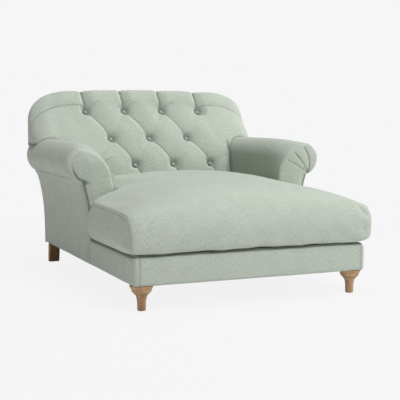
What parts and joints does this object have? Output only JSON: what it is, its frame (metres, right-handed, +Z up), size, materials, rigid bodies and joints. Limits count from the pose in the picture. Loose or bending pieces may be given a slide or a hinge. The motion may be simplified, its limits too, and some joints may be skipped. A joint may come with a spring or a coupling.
{
  "type": "chaise longue",
  "caption": "Chaise longue: deep-buttoned raked back, scroll arms, one loose T-shaped seat cushion, upholstered base, turned front legs and square raked back legs.",
  "frame": {"origin": "on the floor under the middle of the whole piece's width and depth, cushion overhang included", "axes": "+Z up, the front faces -Y, +X is the right-hand side seen from the front"},
  "size_m": [1.2994, 1.507, 0.9284],
  "materials": {
    "upholstery": "sage linen-look weave, matt, fine upright slubs",
    "cushion_cover": "the same sage weave over a soft filled cushion, double-stitched side panels",
    "button_cover": "the same sage weave drawn tight over domed buttons",
    "oak": "light oak, satin, turned",
    "dark_wood": "brown stained hardwood, satin",
    "frame_timber": "unfinished softwood and plywood",
    "webbing": "elastic upholstery webbing",
    "black_cambric": "thin black cloth, stapled under the frame"
  },
  "bodies": {
    "chair": {"seat_front_rail": "frame_timber", "seat_rear_rail": "frame_timber", "seat_side_rail_right": "frame_timber", "seat_side_rail_left": "frame_timber", "seat_cross_rail": "frame_timber", "back_foot_rail": "frame_timber", "front_corner_block_right": "frame_timber", "front_corner_block_left": "frame_timber", "rear_corner_block_right": "frame_timber", "rear_corner_block_left": "frame_timber", "arm_front_board_right": "frame_timber", "arm_front_board_left": "frame_timber", "arm_rear_board_right": "frame_timber", "arm_rear_board_left": "frame_timber", "arm_top_rail_right": "frame_timber", "arm_top_rail_left": "frame_timber", "arm_tack_rail_right": "frame_timber", "arm_tack_rail_left": "frame_timber", "back_post_right": "frame_timber", "back_post_left": "frame_timber", "back_crest_board": "frame_timber", "seat_web_long_1": "webbing", "seat_web_long_2": "webbing", "seat_web_long_3": "webbing", "seat_web_cross_1": "webbing", "seat_web_cross_2": "webbing", "seat_web_cross_3": "webbing", "seat_web_cross_4": "webbing", "seat_web_cross_5": "webbing", "seat_web_cross_6": "webbing", "back_web_1": "webbing", "back_web_2": "webbing", "base_border": "upholstery", "seat_deck": "upholstery", "outer_arm_panel_right": "upholstery", "outer_arm_panel_left": "upholstery", "arm_roll_pad_right": "upholstery", "arm_roll_pad_left": "upholstery", "arm_front_facing_right": "upholstery", "arm_front_facing_left": "upholstery", "outer_back_panel": "upholstery", "back_tufted_pad": "upholstery", "back_button_low_1": "button_cover", "back_button_low_2": "button_cover", "back_button_low_3": "button_cover", "back_button_low_4": "button_cover", "back_button_middle_1": "button_cover", "back_button_middle_2": "button_cover", "back_button_middle_3": "button_cover", "back_button_top_1": "button_cover", "back_button_top_2": "button_cover", "back_button_top_3": "button_cover", "back_button_top_4": "button_cover", "dust_cover": "black_cambric", "front_leg_right": "oak", "front_leg_left": "oak", "rear_leg_right": "dark_wood", "rear_leg_left": "dark_wood"},
    "cushion": {"seat_cushion": "cushion_cover"}
  },
  "joints": [
    {"name": "cushion_lift", "type": "slide", "parent": "chair", "child": "cushion", "axis": [0, 0, 1], "range_m": [0, 0.45]}
  ]
}
